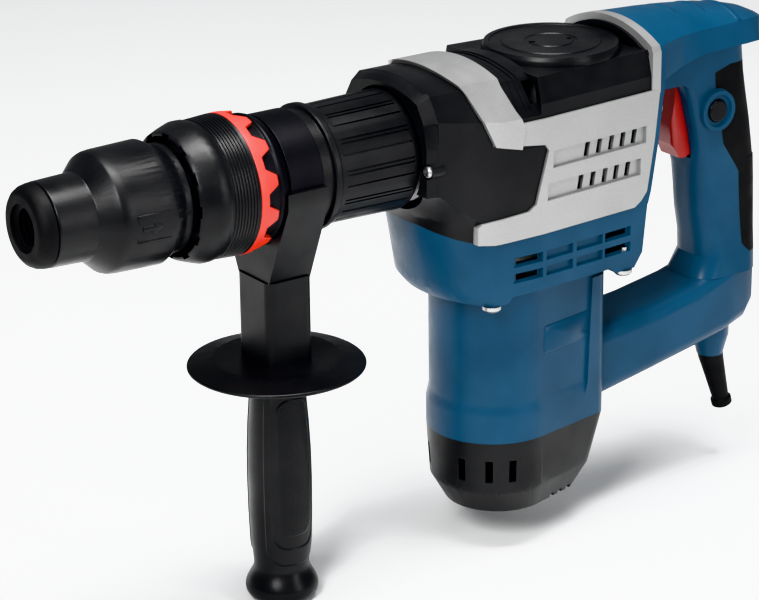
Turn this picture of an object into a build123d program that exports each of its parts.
"""Electric demolition hammer with a vertical motor, a D-handle and a side handle.

The origin is the mouth of the steel tool socket, on the tool axis. The tool axis is X: the nose
points to -X, the D-handle is at +X, +Z is up, and the motor hangs down -Z. All sizes are in mm.
"""
from build123d import *
import os
from math import cos, pi, radians, sin

os.makedirs("parts", exist_ok=True)

# --- driving dimensions -------------------------------------------------------------------------
socket_r = 9.05            # bore for an 18 mm chisel shank
holder_r = 15.0            # outside of the tool holder's front
journal_r = 18.0           # tool holder's rear journal
flange_x = 56.0            # spring flange of the tool holder
sleeve_end = 69.5          # rear end of the locking sleeve
collar_x = 71.0            # front lip of the index collar
collar_end = 104.0         # rear face of the index collar
barrel_r = 28.0            # outside of the housing's nose tube
barrel_x = 90.0            # front end of the nose tube
cover_end = 205.0          # rear end of the ribbed barrel cover
side_x = 134.0             # axis of the side handle
crank_x = 316.9            # crank axis, also the centre of the grease cap
pinion_teeth = 11
gear_teeth = 52
gear_module = 1.25
motor_x = crank_x - gear_module * (pinion_teeth + gear_teeth) / 2
crank_throw = 9.0          # piston stroke is twice this
rod_length = 62.0
case_x = 205.0             # front edge of the casing
body_half = 44.0           # half width of the casing at its widest
rear_half = 37.5           # half width of the casing at its rear end
body_end = 363.0           # rear end of the casing
wall = 2.8                 # wall thickness of the plastic casings
platform_z = 36.0          # flat top of the casing round the grease cap
belt_top = -50.5           # upper edge of the belt at the sides
belt_bottom = -86.0        # underside of the belt
seam_z = -173.0            # joint between motor housing and end cap
column_r = 37.6            # front radius of the motor housing
trigger_pin = (411.0, 0.5)  # trigger pivot, x and z
button_xz = (422.0, -13.7)  # lock-on button, x and z
gland_x = 439.0            # cable gland, x of its centre at the handle's underside

wrist_x = crank_x - crank_throw - rod_length


# --- helpers ------------------------------------------------------------------------------------
def keep(builder, name):
    """Label a finished piece and write its STEP file."""
    builder.part.label = name
    export_step(builder.part, f"parts/{name}.step")


def turned(outline, centre=None):
    """Solid of revolution from (along, radius) points: about X, or about the vertical at x=centre."""
    with BuildPart() as piece:
        if centre is None:
            with BuildSketch(Plane.XZ):
                with BuildLine():
                    Polyline(*outline, close=True)
                make_face()
            revolve(axis=Axis.X)
        else:
            with BuildSketch(Plane.XZ):
                with BuildLine():
                    Polyline(*[(centre + radius, along) for along, radius in outline], close=True)
                make_face()
            revolve(axis=Axis((centre, 0, 0), (0, 0, 1)))
    return piece.part


def tube(start, end, inner, outer):
    """Outline of a plain tube from start to end."""
    return [(start, inner), (start, outer), (end, outer), (end, inner)]


def side_slab(points, half):
    """Polygon in the XZ plane, extruded to y = +half and y = -half."""
    with BuildPart() as slab:
        with BuildSketch(Plane.XZ):
            with BuildLine():
                Polyline(*points, close=True)
            make_face()
        extrude(amount=half, both=True)
    return slab.part


def cross(x):
    """Plane across the tool axis at x: local x is -Y... +Y, local y is Z."""
    return Plane(origin=(x, 0, 0), x_dir=(0, 1, 0), z_dir=(1, 0, 0))


def coil(centre_line, radius, wire, turns, plane):
    """Compression spring whose centre line is centre_line long, standing on the plane."""
    path = Helix(pitch=centre_line / turns, height=centre_line, radius=radius)
    with BuildPart() as spring:
        with BuildSketch(Plane(origin=path @ 0, z_dir=path % 0)):
            Circle(wire / 2)
        sweep(path=path, is_frenet=True)
    return plane * spring.part


# --- casing envelope ----------------------------------------------------------------------------
def half_width(x):
    """Half width of the casing at x, before any growth."""
    if x < 250:
        return 40 + (body_half - 40) * (x - 212) / 38
    if x < 278:
        return body_half
    return body_half - (body_half - rear_half) * (x - 278) / (body_end - 278)


def envelope(grow, end=body_end, top=None):
    """Casing outline grown by grow: the plan shape crossed with the arched section."""
    rise = grow if top is None else top
    with BuildPart() as shape:
        with BuildSketch(Plane.XY.offset(-60)):
            with BuildLine():
                stations = (case_x - 2, 250, 278, end)
                near = [(x, -half_width(x) - grow) for x in stations]
                Polyline(*near, *[(x, -y) for x, y in reversed(near)], close=True)
            make_face()
        extrude(amount=120)
        with BuildSketch(cross(case_x - 10)):
            with BuildLine():
                ThreePointArc((-32, 34.7 + rise), (0, 40.3 + rise), (32, 34.7 + rise))
                Polyline((32, 34.7 + rise), (44 + grow, 16.2 + grow * 0.5), (46 + grow, 16.2 + grow * 0.5),
                         (46 + grow, -60), (-46 - grow, -60), (-46 - grow, 16.2 + grow * 0.5),
                         (-44 - grow, 16.2 + grow * 0.5), (-32, 34.7 + rise))
            make_face()
        extrude(amount=end - case_x + 10, mode=Mode.INTERSECT)
    return shape.part


def plan_block(grow, low, high, top=None):
    """The casing's plan shape between two heights, tapering to the growth top at the upper one."""
    with BuildPart() as block:
        for z, growth in ((low, grow), (high, grow if top is None else top)):
            with BuildSketch(Plane.XY.offset(z)):
                with BuildLine():
                    near = [(x, -half_width(x) - growth) for x in (250, 278, body_end + 4)]
                    Polyline(*near, *[(x, -y) for x, y in reversed(near)], close=True)
                make_face()
        loft(ruled=True)
    return block.part


def rear_arch(inset, start, end, low):
    """Block under the rear arch's outline, inset by inset."""
    with BuildPart() as block:
        with BuildSketch(cross(start)):
            with BuildLine():
                ThreePointArc((-37.3 + inset, 38.4 - inset), (0, 48.5 - inset), (37.3 - inset, 38.4 - inset))
                Polyline((37.3 - inset, 38.4 - inset), (38.9 - inset, 35), (38.9 - inset, low),
                         (-38.9 + inset, low), (-38.9 + inset, 35), (-37.3 + inset, 38.4 - inset))
            make_face()
        extrude(amount=end - start)
    return block.part


casing = envelope(0)
cavity = envelope(-wall, end=body_end - wall)
silver_skin = envelope(1.4)

# --- tool socket end (turns with the chisel) ----------------------------------------------------
lips = []
for lip_x in (-2.6, -5.6, -8.6):
    lips += [(lip_x + 0.9, 12.4), (lip_x + 0.2, 9.7), (lip_x - 0.2, 9.7), (lip_x - 0.9, 12.4)]
blank = turned([(-12, 12.4), (-12, 16.4), (-11.4, 18.2), (-10, 19.8), (-7.6, 21.1), (-4.6, 21.7), (-3.3, 21.8),
                (-3.3, 17.6), (7, 17.6), (7, holder_r), (0, holder_r), (0, 12.4)] + lips)
with BuildPart() as dust_cap:
    add(blank)
keep(dust_cap, "dust_cap")

blank = turned([(0, socket_r), (0, holder_r), (flange_x, holder_r), (flange_x, 24),
                (flange_x + 6, 24), (flange_x + 6, journal_r), (110, journal_r), (110, 12.3), (84, 12.3),
                (80, socket_r)])
with BuildPart() as tool_holder:
    add(blank)
    with BuildSketch(Plane.XZ):
        with Locations((31, 0)):
            Rectangle(12.6, 7.0)
    extrude(amount=20, both=True, mode=Mode.SUBTRACT)
keep(tool_holder, "tool_holder")

roller_r = 3.4
roller_y = socket_r + roller_r + 0.1
with BuildPart() as locking_rollers:
    for side in (-1, 1):
        with BuildSketch(Plane(origin=(25, side * roller_y, 0), x_dir=(0, 1, 0), z_dir=(1, 0, 0))):
            Circle(roller_r)
        extrude(amount=12)
    chamfer(locking_rollers.edges().filter_by(GeomType.CIRCLE), 0.6)
keep(locking_rollers, "locking_rollers")

# --- locking sleeve (slides back to free the chisel) --------------------------------------------
blank = turned([(-2.8, 18), (-2.8, 21.3), (-2, 22), (18.7, 22.7), (27.2, 30.5), (29.6, 31.4), (33, 31.75),
                (57, 32.35), (64.5, 28.35), (sleeve_end, 28.4), (sleeve_end, 25.4), (27, 25.4), (21, 19.6),
                (21, 18)])
with BuildPart() as locking_sleeve:
    add(blank)
keep(locking_sleeve, "locking_sleeve")

with BuildPart() as lock_ring:
    add(turned([(28, 16.8), (28, 25.4), (34, 25.4), (34, 23.6), (38, 23.6), (38, 16.8)]))
keep(lock_ring, "lock_ring")

with BuildPart() as locking_spring:
    add(coil(flange_x - 38 - 2.6, 20.2, 2.2, 4, Plane(origin=(39.3, 0, 0), x_dir=(0, 1, 0), z_dir=(1, 0, 0))))
keep(locking_spring, "locking_spring")

# --- index collar (pulled forward and turned to set the chisel's angle) --------------------------
ribs = []
rib_count = 8
rib_pitch = 1.75
for i in range(rib_count):
    x = 89.2 + rib_pitch * i
    r = 36.5 + 0.1 * i
    ribs += [(x, r - 0.55), (x + 0.35, r), (x + rib_pitch - 0.7, r + 0.05), (x + rib_pitch - 0.35, r - 0.5)]
blank = turned([(collar_x, 31.2), (collar_x, 32.2), (collar_x + 1, 33.4), (76.8, 35.3), (82, 37), (85.5, 37),
                (88, 36)] + ribs + [(collar_end, 37.2), (collar_end, 31.4), (88, 31.4), (88, journal_r + 0.3),
                                    (84, journal_r + 0.3), (84, 31.2)])
with BuildPart() as index_collar:
    add(blank)
    with BuildSketch(cross(collar_x)):
        with PolarLocations(31.6, 12):
            Rectangle(2.4, 6)
    extrude(amount=5, mode=Mode.SUBTRACT)
keep(index_collar, "index_collar")

tooth_start = 109.0
tooth_end = 115.4
with BuildPart() as index_ring:
    add(turned([(collar_end, 33.8), (collar_end, 36.9), (collar_end + 0.8, 37.3), (tooth_start, 37.2),
                (tooth_end, 36.3), (tooth_end, 33.8)]))
    for i in range(12):
        with BuildSketch(Plane.XY.rotated((30 * i, 0, 0)).offset(30)):
            with BuildLine():
                Polyline((tooth_start, -3.2), (tooth_start, 3.2), (tooth_end + 1, 7.4), (tooth_end + 1, -7.4),
                         close=True)
            make_face()
        extrude(amount=12, mode=Mode.SUBTRACT)
keep(index_ring, "index_ring")

with BuildPart() as index_spring:
    add(coil(84 - flange_x - 6 - 2.4, 20.4, 2.0, 4, Plane(origin=(63.2, 0, 0), x_dir=(0, 1, 0), z_dir=(1, 0, 0))))
keep(index_spring, "index_spring")

# --- housing nose: stop ring, bush, guide sleeve, barrel cover ------------------------------------
with BuildPart() as stop_ring:
    add(turned([(barrel_x, barrel_r), (barrel_x, 31), (106, 31), (106.6, 33.4), (117.4, 33.4), (117.8, 34.2),
                (119, 34.7), (121.5, 33.9), (123.6, 32.7), (124, 32), (124, barrel_r)]))
keep(stop_ring, "stop_ring")

with BuildPart() as holder_bush:
    add(turned(tube(92, 110, journal_r + 0.05, 20)))
keep(holder_bush, "holder_bush")

cover_outline = [(145.6, barrel_r), (145.6, 31.2), (151.6, 31.5), (152, 33.4), (152.8, 33.9), (155.4, 33.9),
                 (156.2, 33.2), (157, 31.9), (cover_end - 1, 32.8), (cover_end, 32.4), (cover_end, barrel_r)]
groove_angles = [30 * i + d for i in range(12) for d in (-7.5, -3.5, 7.5)]
with BuildPart() as barrel_cover:
    add(turned(cover_outline))
    for angle in groove_angles:
        with BuildSketch(Plane.XY.rotated((angle, 0, 0)).offset(31.5)):
            with Locations((181, 0)):
                SlotOverall(42, 0.9)
        extrude(amount=3, mode=Mode.SUBTRACT)
keep(barrel_cover, "barrel_cover")

# --- gear housing: nose tube, crankcase and the plate that carries the motor ----------------------
gear_floor = -46.0
plate_z = -52.0
crankcase_r = 36.4
with BuildPart() as gear_housing:
    add(turned([(barrel_x, 20), (barrel_x, barrel_r), (212, barrel_r), (214, 30), (crank_x, 30), (crank_x, 20)]))
    with BuildSketch(Plane.XY.offset(plate_z)):
        with Locations((crank_x, 0)):
            Circle(crankcase_r)
    extrude(amount=platform_z - plate_z)
    with BuildSketch(Plane.XY.offset(plate_z)):
        with Locations((motor_x, 0)):
            Circle(34)
        with Locations((331, 20), (331, -20)):
            Circle(12)
        make_hull()
    extrude(amount=gear_floor - plate_z)
    with BuildSketch(Plane.XY.offset(gear_floor)):
        with Locations((motor_x, 0)):
            Circle(15)
        with Locations((crank_x, 0)):
            Circle(15)
        make_hull()
    extrude(amount=20)
    with BuildSketch(Plane.XY.offset(gear_floor)):
        with Locations((crank_x, 0)):
            Circle(34.4)
    extrude(amount=100, mode=Mode.SUBTRACT)
    with BuildSketch(Plane.XY.offset(gear_floor)):
        with Locations((motor_x, 0)):
            Circle(9.2)
    extrude(amount=18, mode=Mode.SUBTRACT)
    with BuildSketch(cross(barrel_x - 1)):
        Circle(20)
    extrude(amount=crank_x - barrel_x, mode=Mode.SUBTRACT)
    with BuildSketch(Plane.XY.offset(plate_z)):
        with Locations((crank_x, 0), (motor_x, 0)):
            Circle(11)
    extrude(amount=-plate_z + gear_floor, mode=Mode.SUBTRACT)
keep(gear_housing, "gear_housing")

with BuildPart() as guide_sleeve:
    add(turned([(111, 12.35), (111, 20), (128, 20), (128, 8.6), (119.4, 8.6), (119.4, 12.35)]))
keep(guide_sleeve, "guide_sleeve")

with BuildPart() as beat_piece:
    add(turned([(84.5, 0), (84.5, 8.6), (88, 8.9), (92, 12.25), (114, 12.25), (115, 8.5), (138, 8.5), (138, 0)]))
keep(beat_piece, "beat_piece")

cylinder_r = 15.0
with BuildPart() as cylinder:
    add(turned([(128.2, cylinder_r), (128.2, 20), (150, 20), (150, 18), (258, 18), (258, 20), (264, 20),
                (264, cylinder_r)]))
    with BuildSketch(Plane.XY.offset(-20)):
        with Locations((206, 0)):
            SlotOverall(9, 5)
    extrude(amount=40, mode=Mode.SUBTRACT)
keep(cylinder, "cylinder")

with BuildPart() as striker:
    add(turned([(142, 0), (142, 8.5), (156, 8.5), (158, cylinder_r - 0.06), (170, cylinder_r - 0.06), (170, 12.6),
                (173, 12.6), (173, cylinder_r - 0.06), (182, cylinder_r - 0.06), (182, 0)]))
keep(striker, "striker")

with BuildPart() as striker_seal:
    add(turned(tube(170.2, 172.8, 12.6, cylinder_r - 0.03)))
keep(striker_seal, "striker_seal")

piston_x = wrist_x - 38
with BuildPart() as piston:
    add(turned([(piston_x, 0), (piston_x, cylinder_r - 0.06), (piston_x + 4, cylinder_r - 0.06),
                (piston_x + 4, 12.8), (piston_x + 6.6, 12.8), (piston_x + 6.6, cylinder_r - 0.06),
                (wrist_x + 8, cylinder_r - 0.06), (wrist_x + 8, 0)]))
    with BuildSketch(cross(wrist_x - 24)):
        Rectangle(40, 10.6)
    extrude(amount=40, mode=Mode.SUBTRACT)
keep(piston, "piston")

with BuildPart() as piston_ring:
    add(turned(tube(piston_x + 4.2, piston_x + 6.4, 12.8, cylinder_r - 0.03)))
keep(piston_ring, "piston_ring")

# --- crank, rod and gears -------------------------------------------------------------------------
pin_x = crank_x - crank_throw
with BuildPart() as connecting_rod:
    with BuildSketch(Plane.XY.offset(-4)):
        with Locations((wrist_x, 0)):
            Circle(5.0)
        with Locations((pin_x, 0)):
            Circle(9.5)
        with Locations(((wrist_x + pin_x) / 2, 0)):
            Rectangle(rod_length, 7.5)
    extrude(amount=8)
    with BuildSketch(Plane.XY.offset(-4)):
        with Locations((pin_x, 0)):
            Circle(5.05)
    extrude(amount=8, mode=Mode.SUBTRACT)
    with BuildSketch(Plane.XY.offset(-4.8)):
        with Locations((wrist_x, 0)):
            Circle(3.4)
    extrude(amount=9.6)
keep(connecting_rod, "connecting_rod")

web_top = -5.0
with BuildPart() as crankshaft:
    add(turned([(-58, 0), (-58, 4), (-46, 4), (-46, 9), (-33, 9), (-33, 8), (-19, 8), (-19, 22), (web_top - 1, 22),
                (web_top, 21), (web_top, 0)], crank_x))
    with BuildSketch(Plane.XY.offset(web_top)):
        with Locations((pin_x, 0)):
            Circle(5.0)
    extrude(amount=11)
keep(crankshaft, "crankshaft")


def gear_blank(teeth, bore_r, centre, width, start, phase):
    """Straight-toothed gear standing on z=start, its teeth tapered like an involute's."""
    pitch_r = gear_module * teeth / 2
    root_r = pitch_r - 1.25 * gear_module
    tip_r = pitch_r + 0.9 * gear_module
    half = pi / teeth / 2
    with BuildPart() as gear:
        with BuildSketch(Plane.XY.offset(start)):
            with BuildLine():
                corners = []
                for i in range(teeth):
                    mid = radians(phase) + 2 * pi * i / teeth
                    for r, a in ((root_r, -1.45), (pitch_r, -0.9), (tip_r, -0.42), (tip_r, 0.42), (pitch_r, 0.9),
                                 (root_r, 1.45)):
                        corners.append((centre + r * cos(mid + a * half), r * sin(mid + a * half)))
                Polyline(*corners, close=True)
            make_face()
        extrude(amount=width)
        if bore_r:
            with BuildSketch(Plane.XY.offset(start)):
                with Locations((centre, 0)):
                    Circle(bore_r)
            extrude(amount=width, mode=Mode.SUBTRACT)
    return gear.part


gear_z = -44.5
with BuildPart() as drive_gear:
    add(gear_blank(gear_teeth, 9, crank_x, 9, gear_z, 180))
    with BuildSketch(Plane.XY.offset(gear_z + 9)):
        with Locations((crank_x, 0)):
            Circle(27)
            Circle(13, mode=Mode.SUBTRACT)
    extrude(amount=-2.5, mode=Mode.SUBTRACT)
keep(drive_gear, "drive_gear")

with BuildPart() as ball_bearings:
    add(turned(tube(-52, -46.2, 4.04, 11), crank_x))
    add(turned(tube(-52, -46.2, 4.04, 11), motor_x))
    add(turned(tube(-184, -178, 4.04, 11), motor_x))
    chamfer(ball_bearings.edges().filter_by(GeomType.CIRCLE), 0.4)
keep(ball_bearings, "ball_bearings")

bridge_r = 34.4
with BuildPart() as crank_bridge:
    add(turned(tube(-29, -23, 8.05, bridge_r), crank_x))
    with BuildSketch(Plane.XY.offset(-29)):
        with Locations((crank_x, 0)):
            with PolarLocations(24, 6):
                Circle(4)
    extrude(amount=6, mode=Mode.SUBTRACT)
keep(crank_bridge, "crank_bridge")

# --- motor ----------------------------------------------------------------------------------------
with BuildPart() as armature_shaft:
    add(gear_blank(pinion_teeth, 0, motor_x, 13, -45.5, 180 / pinion_teeth))
    with BuildSketch(Plane.XY.offset(-45.5)):
        with Locations((motor_x, 0)):
            Circle(4)
    extrude(amount=-150)
keep(armature_shaft, "armature_shaft")

with BuildPart() as cooling_fan:
    add(turned([(-60, 4), (-60, 8), (-66, 9), (-68, 29), (-70, 29), (-70, 4)], motor_x))
    for i in range(12):
        with BuildSketch(Plane.XY.offset(-68)):
            with Locations(Location((motor_x, 0), 30 * i)):
                with Locations((20, 0)):
                    Rectangle(16, 1.6, rotation=18)
        extrude(amount=7)
keep(cooling_fan, "cooling_fan")

with BuildPart() as armature_core:
    add(turned(tube(-138, -92, 4, 21.5), motor_x))
    with BuildSketch(Plane.XY.offset(-138)):
        with Locations((motor_x, 0)):
            with PolarLocations(20.6, 14):
                Rectangle(4, 2)
    extrude(amount=46, mode=Mode.SUBTRACT)
keep(armature_core, "armature_core")

with BuildPart() as armature_coils:
    add(turned([(-92, 4), (-92, 19), (-86, 18), (-80, 11), (-80, 4)], motor_x))
    add(turned([(-138, 4), (-138, 19), (-144, 18), (-149, 12), (-149, 4)], motor_x))
keep(armature_coils, "armature_coils")

with BuildPart() as commutator:
    add(turned([(-149.2, 4), (-149.2, 14), (-151.5, 14), (-151.5, 12.5), (-168, 12.5), (-168, 4)], motor_x))
    with BuildSketch(Plane.XY.offset(-168)):
        with Locations((motor_x, 0)):
            with PolarLocations(12.5, 22):
                Rectangle(1.4, 0.5)
    extrude(amount=16, mode=Mode.SUBTRACT)
keep(commutator, "commutator")

with BuildPart() as stator_core:
    add(turned(tube(-138, -92, 22.3, 33.0), motor_x))
    with BuildSketch(Plane.XY.offset(-138)):
        with Locations((motor_x, 26.5), (motor_x, -26.5)):
            Rectangle(24, 6)
    extrude(amount=46, mode=Mode.SUBTRACT)
keep(stator_core, "stator_core")

with BuildPart() as field_coils:
    with BuildSketch(Plane.XY.offset(-146)):
        with Locations((motor_x, 26.5), (motor_x, -26.5)):
            Rectangle(23.4, 5.4)
    extrude(amount=62)
    fillet(field_coils.edges().filter_by(Axis.Z), 2)
keep(field_coils, "field_coils")

brush_z = -160.0
with BuildPart() as carbon_brushes:
    for side in (-1, 1):
        with Locations((motor_x, side * 18, brush_z)):
            Box(6, 10.6, 9)
keep(carbon_brushes, "carbon_brushes")

with BuildPart() as brush_holders:
    for side in (-1, 1):
        with Locations((motor_x, side * 24.0, brush_z)):
            Box(10, 16, 13)
            Box(6.2, 20, 9.2, mode=Mode.SUBTRACT)
keep(brush_holders, "brush_holders")

with BuildPart() as brush_springs:
    for side in (-1, 1):
        plane = Plane(origin=(motor_x, side * 23.8, brush_z), x_dir=(1, 0, 0), z_dir=(0, side, 0))
        add(coil(7.5, 2.1, 0.7, 5, plane))
keep(brush_springs, "brush_springs")

# --- pan-head screws of the housing -------------------------------------------------------------
def pan_screw(plane, head_r, head_h, shank_r, length):
    """Cross-slotted pan-head screw: the head stands on the plane, the shank runs below it."""
    with BuildPart() as screw:
        Cylinder(head_r, head_h, align=(Align.CENTER, Align.CENTER, Align.MIN))
        chamfer(screw.faces().sort_by(Axis.Z)[-1].edges(), head_h * 0.4)
        Cylinder(shank_r, length, align=(Align.CENTER, Align.CENTER, Align.MAX))
        with Locations((0, 0, head_h)):
            Box(head_r * 1.2, 0.9, 2, mode=Mode.SUBTRACT)
            Box(0.9, head_r * 1.2, 2, mode=Mode.SUBTRACT)
    return plane * screw.part


with BuildPart() as housing_screws:
    for side in (-1, 1):
        for x, y in ((246.5, 40), (340, 37)):
            add(pan_screw(Plane(origin=(x, side * y, belt_bottom), z_dir=(0, 0, -1)), 5.2, 3.2, 2.2, 13))
        add(pan_screw(Plane(origin=(206.6, side * 38.3, -3.4), z_dir=(-1, 0, 0)), 3.2, 2.0, 1.6, 7))
        add(pan_screw(Plane(origin=(364.7, side * 32.4, 2), z_dir=(0.993, 0, -0.117)), 4.6, 2.6, 2.0, 12))
keep(housing_screws, "housing_screws")

# --- motor housing with its louvred belt -----------------------------------------------------------
belt_slope = [(205, -37), (217.5, -42), (221.5, -44.4), (228, -47), (234.5, -48.8), (245, belt_top),
              (355.2, belt_top), (352, -78), (346, belt_bottom), (332, belt_bottom), (328.5, -82.6), (258, -82.6),
              (254.5, belt_bottom), (205, belt_bottom)]


def prow(stations, side):
    """Hull with a round front, lofted through (z, apex x, corner x, corner half width) stations."""
    with BuildPart() as hull:
        for z, apex, corner, half in stations:
            with BuildSketch(Plane.XY.offset(z)):
                with BuildLine():
                    ThreePointArc((corner, -half), (apex, 0), (corner, half))
                    Polyline((corner, half), *side, *[(x, -y) for x, y in reversed(side)], (corner, -half))
                make_face()
        loft(ruled=True)
    return hull.part


def belt_shape(grow):
    """Flared upper part of the motor housing, grown by grow."""
    stations = [(-34, 214.5, 238.8, 43.4), (-48, 217, 240, 43.4), (-80, 224, 243, 43.6), (-88, 231, 247, 43.6)]
    side = [(276, 44.8 + grow), (356, 39 + grow)]
    return prow([(z, apex - grow, corner - grow * 0.5, half + grow) for z, apex, corner, half in stations], side)


def column_shape(grow, low, high):
    """Column of the motor housing between two heights: a round front drawn back to a narrower rear."""
    with BuildPart() as column:
        with BuildSketch(Plane.XY.offset(low)):
            with Locations((motor_x, 0)):
                Circle(column_r + grow)
            with Locations((328, 20), (328, -20)):
                Circle(9.6 + grow)
            make_hull()
        extrude(amount=high - low)
    return column.part


belt_room = side_slab([(205, -36), (205, -83), (252, -83), (256, -79.6), (330, -79.6), (334, -83), (343, -83),
                       (349.4, -77), (353.4, -54), (353.4, -34)], 60) & belt_shape(-wall)
louvre_rows = (-63.5, -72.5)
with BuildPart() as motor_housing:
    add(side_slab(belt_slope, 60) & belt_shape(0))
    add(column_shape(-1.6, -150, belt_bottom))
    add(column_shape(0, seam_z, -158))
    with BuildSketch(Plane.XY.offset(-158)):
        with Locations((motor_x, 0)):
            Circle(column_r)
        with Locations((328, 20), (328, -20)):
            Circle(9.6)
        make_hull()
    with BuildSketch(Plane.XY.offset(-150)):
        with Locations((motor_x, 0)):
            Circle(column_r - 1.6)
        with Locations((328, 20), (328, -20)):
            Circle(8.0)
        make_hull()
    loft()
    add(column_shape(0, -158, belt_bottom) & side_slab([(324, -90), (345, -90), (345, -160), (318, -160),
                                                       (321, -152)], 60))
    add(column_shape(-wall - 1.6, seam_z, belt_bottom + 8), mode=Mode.SUBTRACT)
    add(belt_room, mode=Mode.SUBTRACT)
    for side in (-1, 1):
        for row_z in louvre_rows:
            for cell_x in (268, 290, 312, 333):
                with Locations((cell_x, side * (half_width(cell_x) + 0.9), row_z)):
                    Box(19.4, 4.6, 5.4, rotation=(0, 0, -side * 4.1), mode=Mode.SUBTRACT)
            for open_x in (268, 333):
                with Locations((open_x, side * 41, row_z + 0.3)):
                    Box(15.5, 12, 4.2, mode=Mode.SUBTRACT)
    add(housing_screws.part, mode=Mode.SUBTRACT)
keep(motor_housing, "motor_housing")

cap_low = -218.0
with BuildPart() as motor_end_cap:
    with BuildSketch(Plane.XY.offset(seam_z)):
        with Locations((motor_x, 0)):
            Circle(column_r)
        with Locations((328, 20), (328, -20)):
            Circle(9.6)
        make_hull()
    with BuildSketch(Plane.XY.offset(-203)):
        with Locations((motor_x + 0.5, 0)):
            Circle(column_r - 1.6)
        with Locations((321, 19), (321, -19)):
            Circle(8)
        make_hull()
    loft()
    with BuildSketch(Plane.XY.offset(-203)):
        with Locations((motor_x + 0.5, 0)):
            Circle(column_r - 1.6)
        with Locations((321, 19), (321, -19)):
            Circle(8)
        make_hull()
    with BuildSketch(Plane.XY.offset(cap_low)):
        with Locations((motor_x + 3, 0)):
            Circle(column_r - 8)
        with Locations((314, 16), (314, -16)):
            Circle(6)
        make_hull()
    loft()
    with BuildSketch(Plane.XY.offset(seam_z)):
        with Locations((motor_x, 0)):
            Circle(column_r - wall)
        with Locations((322, 18), (322, -18)):
            Circle(8)
        make_hull()
    with BuildSketch(Plane.XY.offset(-206)):
        with Locations((motor_x + 0.5, 0)):
            Circle(column_r - wall - 3.4)
        with Locations((315, 17), (315, -17)):
            Circle(6)
        make_hull()
    loft(mode=Mode.SUBTRACT)
    add(turned([(-206.5, 0), (-206.5, 14.5), (-178, 14.5), (-178, 11), (-184, 11), (-184, 6), (-198, 6), (-198, 0)],
               motor_x))
    for side in (-1, 1):
        for angle in (109, 130, 155):
            with Locations(Location((motor_x, 0, -190.5), (0, 0, side * angle))):
                with Locations((35, 0, 0)):
                    Box(12, 4, 13, mode=Mode.SUBTRACT)
        for i in range(5):
            with Locations((300 + 7 * i, side * 26, cap_low)):
                Box(3.4, 24, 5, mode=Mode.SUBTRACT)
keep(motor_end_cap, "motor_end_cap")

# --- casing: front case, top cover, silver frame, rear plate --------------------------------------
bevel_x = 211.7


def case_prow(grow):
    """Lower front of the casing, drawn back to the belt and grown by grow."""
    stations = [(-18, 204.4, 212, 40), (-38, 215, 238.5, 43), (-54, 217.8, 241, 43.4)]
    side = [(250, 44 + grow), (278, 44 + grow)]
    return prow([(z, apex - grow, corner - grow * 0.5, half + grow) for z, apex, corner, half in stations], side)


with BuildPart() as front_case:
    with BuildSketch(cross(case_x)):
        with BuildLine():
            ThreePointArc((-30, 30.9), (0, 36.3), (30, 30.9))
            Polyline((30, 30.9), (36, 21.3), (38.4, 8), (38.4, -18), (-38.4, -18), (-38.4, 8), (-36, 21.3),
                     (-30, 30.9))
        make_face()
    with BuildSketch(cross(bevel_x)):
        with BuildLine():
            ThreePointArc((-32, 34.7), (0, 40.3), (32, 34.7))
            Polyline((32, 34.7), (39.8, 22.4), (39.9, 8), (39.9, -18), (-39.9, -18), (-39.9, 8), (-39.8, 22.4),
                     (-32, 34.7))
        make_face()
    loft()
    with BuildSketch(cross(case_x + 2.5)):
        with Locations((0, 5.5)):
            Rectangle(66, 47)
    extrude(amount=8, mode=Mode.SUBTRACT)
    add((casing - cavity) & side_slab([(bevel_x, 60), (262, 60), (262, -0.5), (278, -0.8), (280, -4), (276.2, -18),
                                       (bevel_x, -18)], 60))
    add((case_prow(0) - case_prow(-wall)) & side_slab([(200, -18), (276.2, -18), (272, -33), (267, -36.2),
                                                       (237, -37.4), (234.5, -39), (234.5, -48.8), (228, -47),
                                                       (221.5, -44.4), (217.5, -42), (200, -35)], 60))
    for side in (-1, 1):
        with BuildSketch(cross(206.6)):
            with Locations((side * 38.3, -3.4)):
                Circle(3.9)
        extrude(amount=8)
        with BuildSketch(cross(206.6)):
            with Locations((side * 38.3, -3.4)):
                Circle(4.2)
        extrude(amount=-4, mode=Mode.SUBTRACT)
    with BuildSketch(cross(case_x - 1)):
        Circle(34.2)
    extrude(amount=14, mode=Mode.SUBTRACT)
    add(housing_screws.part, mode=Mode.SUBTRACT)
    add(motor_housing.part, mode=Mode.SUBTRACT)
keep(front_case, "front_case")

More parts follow.
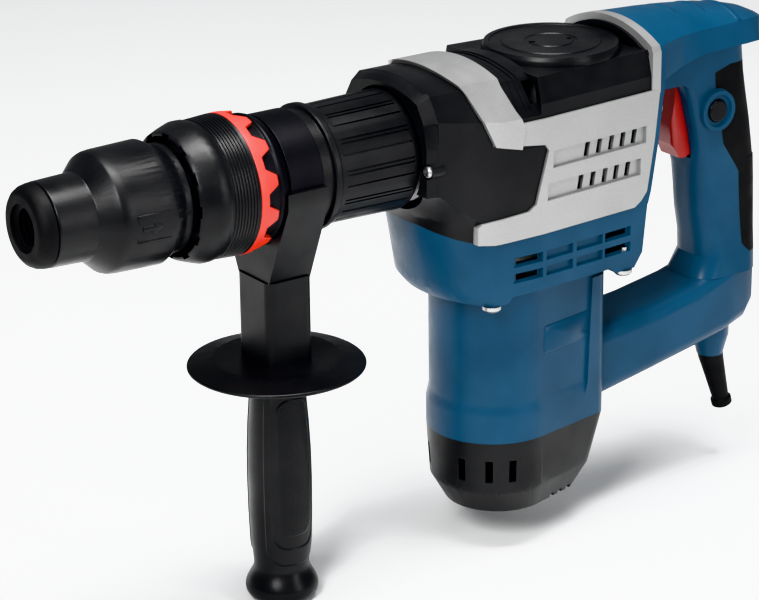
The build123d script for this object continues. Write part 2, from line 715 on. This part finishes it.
arch_x = 357.0
with BuildPart() as top_cover:
    add((casing - cavity) & side_slab([(262.2, 60), (277, 60), (277, -0.6), (262.2, -0.3)], 60))
    add(casing & side_slab([(274.5, 60), (278.4, 60), (278.4, 30), (274.5, 30)], 60))
    add(plan_block(0, 21.8, platform_z, -3.6) & side_slab([(276, 60), (arch_x, 60), (arch_x, 0), (276, 0)], 60))
    add(plan_block(0, -2, 22) & side_slab([(276, 22), (arch_x, 22), (arch_x, -2), (276, -2)], 60))
    add(rear_arch(3.6, arch_x - 2, body_end - 0.2, -2))
    add((plan_block(-wall - 0.8, -3, 21) + plan_block(-wall - 0.8, 21, platform_z - wall, -6.2))
        & side_slab([(270, 60), (arch_x - 1, 60), (arch_x - 1, -60), (270, -60)], 60), mode=Mode.SUBTRACT)
    add(rear_arch(3.6 + wall, arch_x - 3, body_end - wall, -3), mode=Mode.SUBTRACT)
    with BuildSketch(Plane.XY.offset(platform_z)):
        with Locations((crank_x, 0)):
            Circle(crankcase_r + 0.2)
    extrude(amount=-60, mode=Mode.SUBTRACT)
    for rib_x in (263.5, 266.5):
        add((envelope(0.5) - casing) & side_slab([(rib_x, 60), (rib_x + 1.2, 60), (rib_x + 5, 20), (rib_x + 3.8, 20)],
                                                 60))
    add(housing_screws.part, mode=Mode.SUBTRACT)
    add(front_case.part, mode=Mode.SUBTRACT)
keep(top_cover, "top_cover")

silver_rear = [(362.8, 14), (359.3, -15), (354.2, -43), (350, -47.6), (345, belt_top)]
silver_front = [(245, belt_top), (234.5, -48.8), (234.5, -39), (237.2, -37.3), (267.5, -36), (272.4, -33), (280.7, -4), (278, -0.5),
                (245, 4.3)]
louvres = [(318.3, -9.9, (310, 319, 328, 336.5, 345)), (314.5, -27.6, (305.5, 314.5, 323.5, 332, 340.5))]
with BuildPart() as silver_frame:
    add((envelope(2.4) - casing) & side_slab([(228, 60), (254, 60), (256, 33), (259.5, 21), (264, 12), (262, 0),
                                              (245, 4.3), (237, 20.6), (233, 33), (228, 42)], 60))
    add(((silver_skin - cavity) & side_slab([(262, 14)] + silver_rear + silver_front + [(252, 14)], 60))
        - front_case.part - top_cover.part)
    add(rear_arch(0, arch_x, body_end, 12))
    add(rear_arch(3.6, arch_x - 1, body_end + 1, 11), mode=Mode.SUBTRACT)
    for side in (-1, 1):
        for centre, z, slots in louvres:
            face_y = half_width(centre) + 1.4
            with Locations((centre, side * face_y, z)):
                Box(69, 4.2, 9.6, rotation=(0, 0, -side * 4.37), mode=Mode.SUBTRACT)
            for x in slots:
                with Locations((x, side * (half_width(x) - 1), z)):
                    Box(3.5, 12, 8, rotation=(0, 10, 0), mode=Mode.SUBTRACT)
    add(housing_screws.part, mode=Mode.SUBTRACT)
keep(silver_frame, "silver_frame")

with BuildPart() as grease_cap:
    add(turned([(26, 0), (26, 34.2), (platform_z, 34.2), (platform_z, 38.1), (38.2, 38.1), (40.9, 36.9), (40.9, 34.2),
                (40.3, 33.9), (40.3, 27.5), (40.9, 27), (40.9, 15), (40.4, 14.4), (40.4, 12.4), (40.9, 12),
                (40.9, 0)], crank_x))
    with BuildSketch(Plane.XY.offset(40.9)):
        with Locations((crank_x, 0)):
            with PolarLocations(10.8, 2, start_angle=-17):
                Circle(1.7)
    extrude(amount=-4, mode=Mode.SUBTRACT)
    with BuildSketch(Plane.XY.offset(26)):
        with Locations((crank_x, 0)):
            Circle(31)
    extrude(amount=9, mode=Mode.SUBTRACT)
keep(grease_cap, "grease_cap")

with BuildPart() as rear_plate:
    add(plan_block(1.2, -60, 20) & side_slab([(363, 14), (366, 14), (362.6, -15), (357.6, -43), (355.4, belt_top),
                                              (345.2, belt_top), (350.2, -47.6), (354.4, -43), (359.5, -15)], 60))
    add(rear_arch(0.3, body_end, 366, 10))
    for piece in (housing_screws, top_cover, silver_frame, gear_housing, motor_housing):
        add(piece.part, mode=Mode.SUBTRACT)
keep(rear_plate, "rear_plate")

# --- D-handle: two shells that meet at y = 0, with a rubber pad ------------------------------------
hood_stations = [(366, 37.0, 38.1, 48.2, 38.2, 18.0), (386, 29.5, 38.0, 48.4, 31.0, 21.5),
                 (402, 25.5, 37.4, 47.6, 27.5, 23.6), (424, 22.8, 37.0, 45.4, 25.2, 24.0),
                 (440, 20.5, 36.8, 42.4, 23.0, 23.4), (452, 16.8, 36.0, 39.2, 19.5, 22.6),
                 (460, 11.5, 33.8, 35.6, 14.5, 22.0), (464, 7.0, 29.0, 30.0, 9.0, 22.4)]
head_stations = [(26, 398, 447, 18.4, 5), (5, 400, 449.4, 18.4, 5), (-6, 404, 451.4, 18.4, 5), (-24, 409, 455, 18.4, 6),
                 (-38, 412, 457.6, 18.0, 9), (-50, 412.9, 459.8, 17.5, 13.4)]
grip_stations = [(-47, 412.7, 459.5, 17.6), (-62, 414, 461, 17.0), (-78, 415.5, 461.8, 16.8),
                 (-92, 418.5, 462, 17.2), (-104, 420, 462, 18.2), (-116, 414, 461.2, 19.6)]
bar_stations = [(336, -169, -127.2, 22.6), (380, -161.5, -122.6, 22.2), (412, -156, -117, 21.4),
                (434, -152, -110, 20.2), (450, -148.5, -104, 17.6), (458.5, -143, -104, 13.5)]
neck_outline = [(366, 26), (366, 5), (397, 5), (407, 0), (425, 0), (425, 26)]


def head_section(front, rear, half, corner, inset):
    """Points round one level section of the handle's head, moved in by inset."""
    points = []
    for centre_x, side, radius, start in ((rear - 14, 1, 14, 0), (front + corner, 1, corner, 90),
                                          (front + corner, -1, corner, 180), (rear - 14, -1, 14, 270)):
        for step in range(7):
            angle = radians(start + 15 * step)
            points.append((centre_x + (radius - inset) * cos(angle),
                           side * (half - radius) + (radius - inset) * sin(angle)))
    return points


def handle_body(inset):
    """The closed D-handle, with every surface moved in by inset."""
    with BuildPart() as body:
        for x, top_y, top_z, crown_z, low_y, low_z in hood_stations:
            with BuildSketch(cross(x - (inset if x > 460 else 0) + (inset if x < 370 else 0))):
                with BuildLine():
                    ThreePointArc((-top_y + inset, top_z - inset), (0, crown_z - inset),
                                  (top_y - inset, top_z - inset))
                    Polyline((top_y - inset, top_z - inset), (low_y - inset, low_z + inset),
                             (-low_y + inset, low_z + inset), (-top_y + inset, top_z - inset))
                make_face()
        loft(ruled=True)
        for z, front, rear, half, corner in head_stations:
            with BuildSketch(Plane.XY.offset(z)):
                with BuildLine():
                    Polyline(*head_section(front, rear, half, corner, inset), close=True)
                make_face()
        loft(ruled=True)
        for z, front, rear, half in grip_stations:
            with BuildSketch(Plane.XY.offset(z)):
                with Locations(((front + rear) / 2, 0)):
                    RectangleRounded(rear - front - 2 * inset, 2 * (half - inset), 13.5 - inset)
        loft(ruled=True)
        for x, low, high, half in bar_stations:
            with BuildSketch(cross(x + (inset if x < 340 else 0))):
                with Locations((0, (low + high) / 2)):
                    RectangleRounded(2 * (half - inset), high - low - 2 * inset, 9 - inset)
        loft(ruled=True)
        with BuildSketch(Plane.XZ):
            with BuildLine():
                Polyline(*neck_outline, close=True)
            make_face()
            if inset:
                offset(amount=-inset, kind=Kind.INTERSECTION, mode=Mode.REPLACE)
        extrude(amount=18.4 - inset, both=True)
    return body.part


pad_outline = [(472, 12), (432, 12), (420.5, 8.5), (421, 1), (427, -27.5), (428.5, -35), (439, -50), (441.5, -54),
               (443, -71.5), (445.5, -99), (451, -104.5), (472, -106)]
handle_outer = handle_body(0)
handle_skin = handle_body(1.4)
handle_inner = handle_body(3.0)
with BuildPart() as grip_pad:
    add((handle_outer - handle_skin) & side_slab(pad_outline, 30))
    with BuildSketch(Plane.XZ):
        with Locations(button_xz):
            Circle(12.6)
    extrude(amount=30, both=True, mode=Mode.SUBTRACT)
keep(grip_pad, "grip_pad")

handle_hollow = handle_outer - handle_inner - grip_pad.part - column_shape(0, seam_z, belt_bottom)
slot_half = 8.6
screw_xz = [(386, 15, 18.4), (426, -66, 17.0), (438, -116, 19.0), (398, -140, 21.6), (360, -146, 22.3)]


def button_disc(radius, near, far):
    """Disc about the lock-on button's axis, from y = -near to y = -far."""
    with BuildPart() as disc:
        with BuildSketch(Plane.XZ.offset(near)):
            with Locations(button_xz):
                Circle(radius)
        extrude(amount=far - near)
    return disc.part


def pin_across(x, z, radius, start, end):
    """Cylinder parallel to Y from y=start to y=end."""
    with BuildPart() as pin:
        with BuildSketch(Plane.XZ.offset(-end)):
            with Locations((x, z)):
                Circle(radius)
        extrude(amount=end - start)
    return pin.part


with BuildPart() as handle_screws:
    for x, z, half in screw_xz:
        add(pin_across(x, z, 3.4, half - 4.6, half - 1.8))
        add(pin_across(x, z, 1.8, -7, half - 4.6))
        with Locations((x, half - 1.8, z)):
            Box(0.9, 1.8, 5, mode=Mode.SUBTRACT)
            Box(5, 1.8, 0.9, mode=Mode.SUBTRACT)
keep(handle_screws, "handle_screws")

with BuildPart() as trigger_axle:
    add(pin_across(*trigger_pin, 2.0, -15.4, 15.4))
keep(trigger_axle, "trigger_pin")


def shell(side, bosses):
    """One handle shell: the hollow handle on that side of y=0 with its screw bosses and openings."""
    with BuildPart() as half_shell:
        add(split(handle_hollow, bisect_by=Plane.XZ, keep=Keep.TOP if side < 0 else Keep.BOTTOM))
        for x, z, half in screw_xz:
            low, high = sorted((0, side * (half - 1.5)))
            add(pin_across(x, z, 4.4, low, high))
        for piece in bosses:
            add(piece)
        for x, z, half in screw_xz:
            if side > 0:
                add(pin_across(x, z, 3.4, half - 4.6, half + 3), mode=Mode.SUBTRACT)
            add(pin_across(x, z, 1.8, -7, half - 4.6), mode=Mode.SUBTRACT)
        with Locations((398, 0, -18.5)):
            Box(40, 2 * slot_half, 49, mode=Mode.SUBTRACT)
        add(pin_across(*trigger_pin, 2.0, -15.4, 15.4), mode=Mode.SUBTRACT)
        with Locations((gland_x, 0, -152)):
            Cylinder(9.2, 20, mode=Mode.SUBTRACT)
    return half_shell.part


with BuildPart() as handle_left:
    add(shell(-1, [button_disc(9.2, 9.4, 17), button_disc(11.8, 16, 21.4)]))
    add(button_disc(9.4, 19.6, 24), mode=Mode.SUBTRACT)
    add(button_disc(7.0, 11, 24), mode=Mode.SUBTRACT)
keep(handle_left, "handle_left")

with BuildPart() as handle_right:
    add(shell(1, []))
keep(handle_right, "handle_right")

with BuildPart() as lock_on_button:
    add(button_disc(6.65, 14.5, 21.2))
    chamfer(lock_on_button.faces().sort_by(Axis.Y)[0].edges(), 0.8)
    add(button_disc(4.7, 14.5, 18), mode=Mode.SUBTRACT)
keep(lock_on_button, "lock_on_button")

button_plane = Plane(origin=(button_xz[0], -11.9, button_xz[1]), x_dir=(1, 0, 0), z_dir=(0, -1, 0))
with BuildPart() as button_spring:
    add(coil(5.2, 3.5, 0.8, 3, button_plane))
keep(button_spring, "button_spring")

with BuildPart() as trigger:
    add(side_slab([(401, 4), (398.5, -22), (399.8, -33), (404.6, -41.5), (408.5, -42), (418, -38), (420, -4),
                   (412, 6)], 8))
    fillet(trigger.edges().filter_by(Axis.Z, tolerance=12).group_by(Axis.X)[0], 3.5)
    add(pin_across(*trigger_pin, 2.05, -9, 9), mode=Mode.SUBTRACT)
keep(trigger, "trigger")

switch_x = 426.0
with BuildPart() as switch_module:
    with Locations((switch_x + 8, 0, -16)):
        Box(16, 18, 34)
    with BuildSketch(Plane(origin=(switch_x, 0, -26), x_dir=(0, 1, 0), z_dir=(1, 0, 0))):
        Circle(3.6)
    extrude(amount=7, mode=Mode.SUBTRACT)
    with Locations((switch_x + 6, 12.2, -1), (switch_x + 6, -12.2, -27)):
        Box(8, 6.4, 4)
keep(switch_module, "switch_module")

trigger_plane = Plane(origin=(419.5, 0, -26), x_dir=(0, 1, 0), z_dir=(1, 0, 0))
with BuildPart() as trigger_spring:
    add(coil(12.6, 2.6, 0.8, 5, trigger_plane))
keep(trigger_spring, "trigger_spring")

# --- cable gland and its rubber boot ----------------------------------------------------------------
with BuildPart() as cable_gland:
    add(turned([(-145, 4.6), (-145, 11), (-158, 11), (-170.6, 7.75), (-170.6, 4.6)], gland_x)
        - handle_left.part - handle_right.part)
keep(cable_gland, "cable_gland")

boot_outline = [(-3, 4), (-3, 7.5), (2, 7.5), (8, 6.9), (28, 5.3), (31.5, 5.0), (33, 6.2), (36.5, 6.2), (37, 5.6),
                (37, 4)]
boot_plane = Plane(origin=(gland_x + 0.4, 0, -170.6), x_dir=(0, 1, 0), z_dir=(0.29, 0, -0.957))
with BuildPart() as strain_relief:
    add(boot_plane * turned(boot_outline, 0))
    with BuildSketch(Plane.XY.offset(-170.6)):
        with Locations((gland_x, 0)):
            Rectangle(40, 40)
    extrude(amount=20, mode=Mode.SUBTRACT)
keep(strain_relief, "strain_relief")

# --- side handle --------------------------------------------------------------------------------------
band_r = 32.7
with BuildPart() as clamp_band:
    add(turned(tube(124.6, 145, barrel_r + 0.05, band_r)))
keep(clamp_band, "clamp_band")

with BuildPart() as tension_bolt:
    add(turned([(-37, 0), (-37, 7), (-42, 7), (-42, 4), (-138, 4), (-140, 3), (-140, 0)], side_x))
keep(tension_bolt, "tension_bolt")

with BuildPart() as handle_stem:
    add(side_slab([(121, 0), (145.5, 0), (147, -56), (121, -56)], 40))
    with BuildSketch(cross(115)):
        with BuildLine():
            Polyline((-35.4, 0), (-35, -9), (-14, -56), (14, -56), (35, -9), (35.4, 0), (-35.4, 0))
        make_face()
    extrude(amount=40, mode=Mode.INTERSECT)
    with BuildSketch(Plane.XY.offset(-101)):
        with Locations((side_x, 0)):
            RectangleRounded(28, 32, 5)
    extrude(amount=47)
    add(turned(tube(100, 160, 0, band_r)), mode=Mode.SUBTRACT)
    add(turned(tube(100, 124.6, 0, 35.1)), mode=Mode.SUBTRACT)
    add(turned(tube(145, 160, 0, 33.4)), mode=Mode.SUBTRACT)
    add(tension_bolt.part, mode=Mode.SUBTRACT)
keep(handle_stem, "handle_stem")

with BuildPart() as hand_guard:
    add(turned([(-101, 4), (-101, 33), (-102, 36), (-104.4, 47), (-105.2, 47.9), (-106.4, 47.6), (-107, 46.4),
                (-107, 4)], side_x))
keep(hand_guard, "hand_guard")

with BuildPart() as side_grip:
    add(turned([(-107.4, 4.06), (-107.4, 13.8), (-108.6, 14.6), (-121, 15.1), (-138, 16.4), (-155, 17.2), (-170, 17.4),
                (-190, 17.2), (-207, 16.6), (-222, 15.2), (-224.6, 16.4), (-231, 20), (-234, 20.4), (-237.6, 19.4),
                (-240, 16.6), (-241, 13), (-241, 0), (-140.5, 0), (-140.5, 4.06)], side_x))
keep(side_grip, "side_grip")
